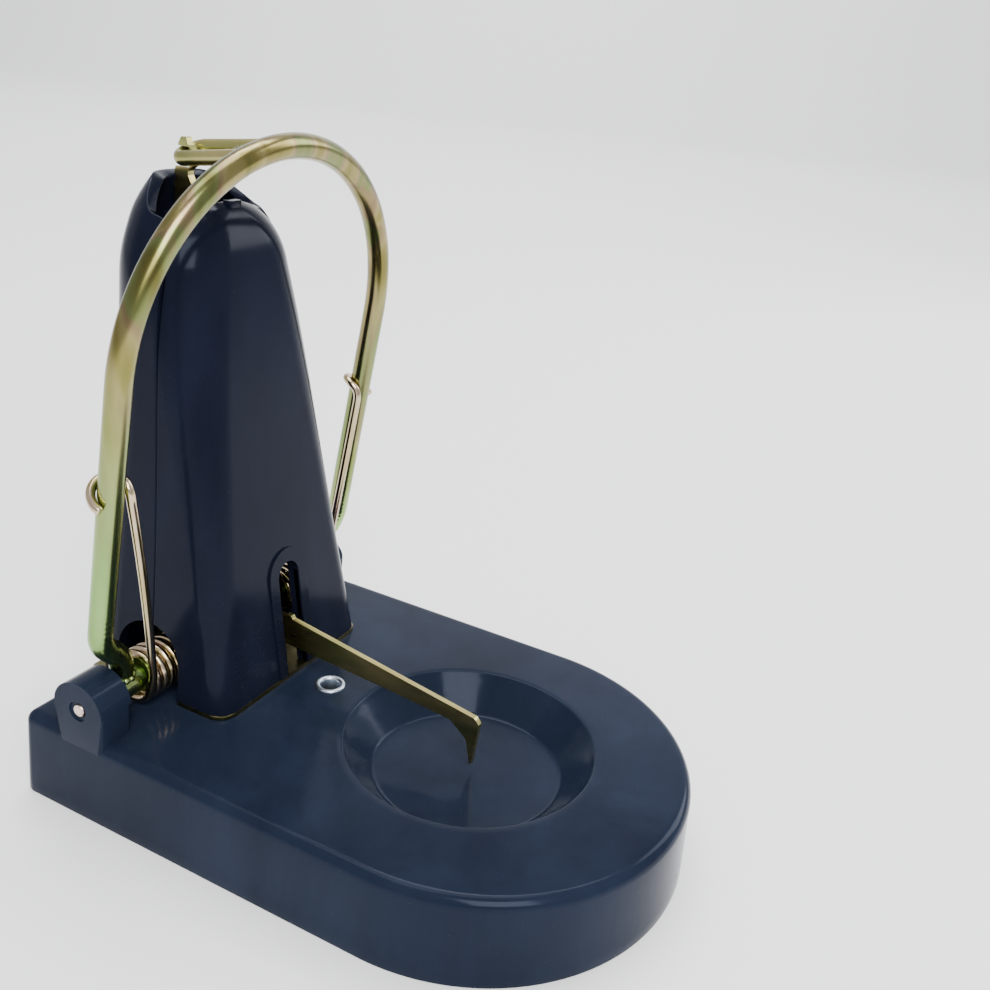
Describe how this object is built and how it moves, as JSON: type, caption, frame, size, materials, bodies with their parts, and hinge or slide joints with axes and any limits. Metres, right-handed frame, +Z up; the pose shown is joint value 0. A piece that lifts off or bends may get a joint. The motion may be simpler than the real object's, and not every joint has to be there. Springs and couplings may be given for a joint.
{
  "type": "snap trap",
  "caption": "Set snap trap: moulded base with a bait cup, hollow tower, arched round kill bar on coil springs, bait arm and upright sear.",
  "frame": {"origin": "on the underside, under the centre of the half-round front of the base", "axes": "+X across the trap, +Y from the bait cup towards the tower, +Z up"},
  "size_m": [0.085, 0.1225, 0.1279],
  "materials": {
    "base_plastic": "gloss",
    "tower_plastic": "gloss",
    "bar_steel": "zinc with a yellow passivate",
    "wire_steel": "zinc with a yellow passivate",
    "strip_steel": "zinc with a yellow passivate",
    "rod_steel": "bright zinc",
    "screw_steel": "bright zinc",
    "eyelet_metal": "satin",
    "spacer_plastic": "matte"
  },
  "bodies": {
    "frame": {"base": "base_plastic", "eyelet": "eyelet_metal", "foot_plate": "strip_steel", "foot_screws": "screw_steel", "tower_front": "tower_plastic", "tower_rear": "tower_plastic", "shell_screws": "screw_steel", "axle_rod": "rod_steel", "spacer_left": "spacer_plastic", "spacer_right": "spacer_plastic", "spring_tail_left": "wire_steel", "spring_tail_right": "wire_steel", "sear_pin": "screw_steel"},
    "kill_bar": {"kill_bar": "bar_steel", "sleeve_left": "bar_steel", "sleeve_right": "bar_steel", "pivot_weld_left": "bar_steel", "pivot_weld_right": "bar_steel", "catch_loop": "strip_steel", "catch_weld_left": "bar_steel", "catch_weld_right": "bar_steel", "spring_left": "wire_steel", "spring_right": "wire_steel"},
    "sear": {"sear": "strip_steel"},
    "trigger": {"trigger": "strip_steel"}
  },
  "joints": [
    {"name": "kill_bar_swing", "type": "hinge", "parent": "frame", "child": "kill_bar", "pos_m": [0, 0.064, 0.024], "axis": [1, 0, 0], "range_deg": [0, 83.5]},
    {"name": "trigger_press", "type": "hinge", "parent": "frame", "child": "trigger", "pos_m": [0, 0.064, 0.024], "axis": [1, 0, 0], "range_deg": [0, 1.5], "stiffness_Nm_per_rad": 0.05, "springref_deg": -5.73},
    {"name": "sear_tip", "type": "hinge", "parent": "frame", "child": "sear", "pos_m": [0, 0.073, 0.106], "axis": [1, 0, 0], "range_deg": [0, 21]}
  ],
  "couplings": [
    {"joint": "sear_tip", "follows": "trigger_press", "ratio": 14}
  ]
}
